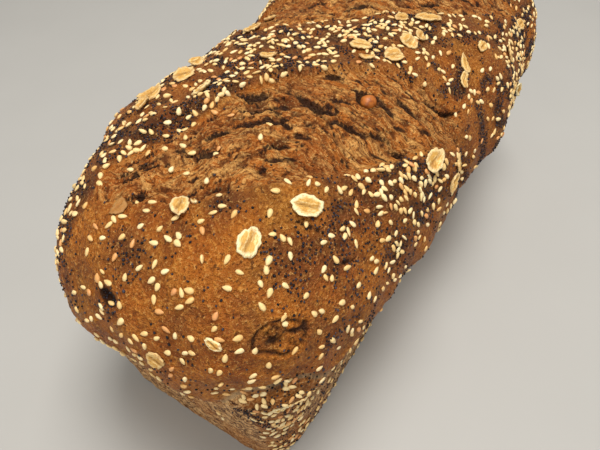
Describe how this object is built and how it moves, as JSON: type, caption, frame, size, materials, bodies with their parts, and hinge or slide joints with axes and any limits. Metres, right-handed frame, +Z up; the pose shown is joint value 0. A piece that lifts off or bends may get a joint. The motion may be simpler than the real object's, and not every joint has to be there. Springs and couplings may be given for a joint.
{
  "type": "spelt loaf",
  "caption": "Tin-baked wholegrain spelt loaf: flat base and sides, crown risen over the rim, slanting torn bands, crust strewn with sesame, poppy seeds and oat flakes.",
  "frame": {"origin": "middle of the flat base, under the middle of the loaf's box", "axes": "+Z up, +X along the loaf, -Y the long side that the picture shows"},
  "size_m": [0.2604, 0.1244, 0.1199],
  "materials": {
    "crust": "satin brown bread crust, paler where it tore and on the walls",
    "sesame": "cream to toasted tan sesame seeds",
    "poppy": "blue-black poppy seeds",
    "oat": "cream oat flakes with tan creases"
  },
  "bodies": {
    "root": {"loaf": "crust"}
  },
  "joints": []
}
